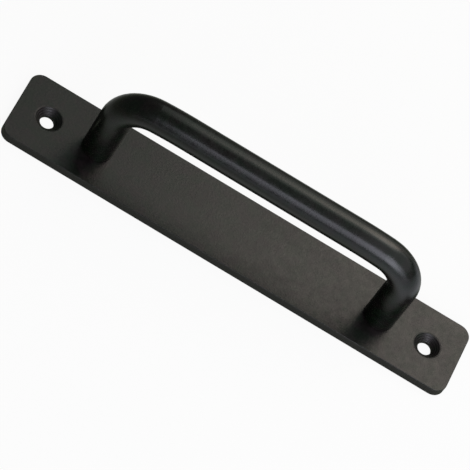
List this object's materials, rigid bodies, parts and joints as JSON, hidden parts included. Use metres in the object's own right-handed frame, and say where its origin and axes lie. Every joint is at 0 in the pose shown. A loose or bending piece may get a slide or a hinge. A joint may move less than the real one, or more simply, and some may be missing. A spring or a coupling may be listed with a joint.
{
  "type": "sliding gate handle",
  "caption": "Pull handle for a sliding gate or door: round bar bent into a U on a flat back plate with rounded corners and countersunk mounting holes near its ends.",
  "frame": {"origin": "middle of the plate's back face, which lies against the gate", "axes": "+X along the plate, +Y across it, +Z out of the gate towards the hand"},
  "size_m": [0.2, 0.034, 0.0481],
  "materials": {
    "plate": "satin black anodised",
    "bar": "satin black anodised",
    "screws": "black oxide"
  },
  "bodies": {
    "root": {"back_plate": "plate", "pull_bar": "bar", "leg_screw_left": "screws", "leg_screw_right": "screws"}
  },
  "joints": []
}
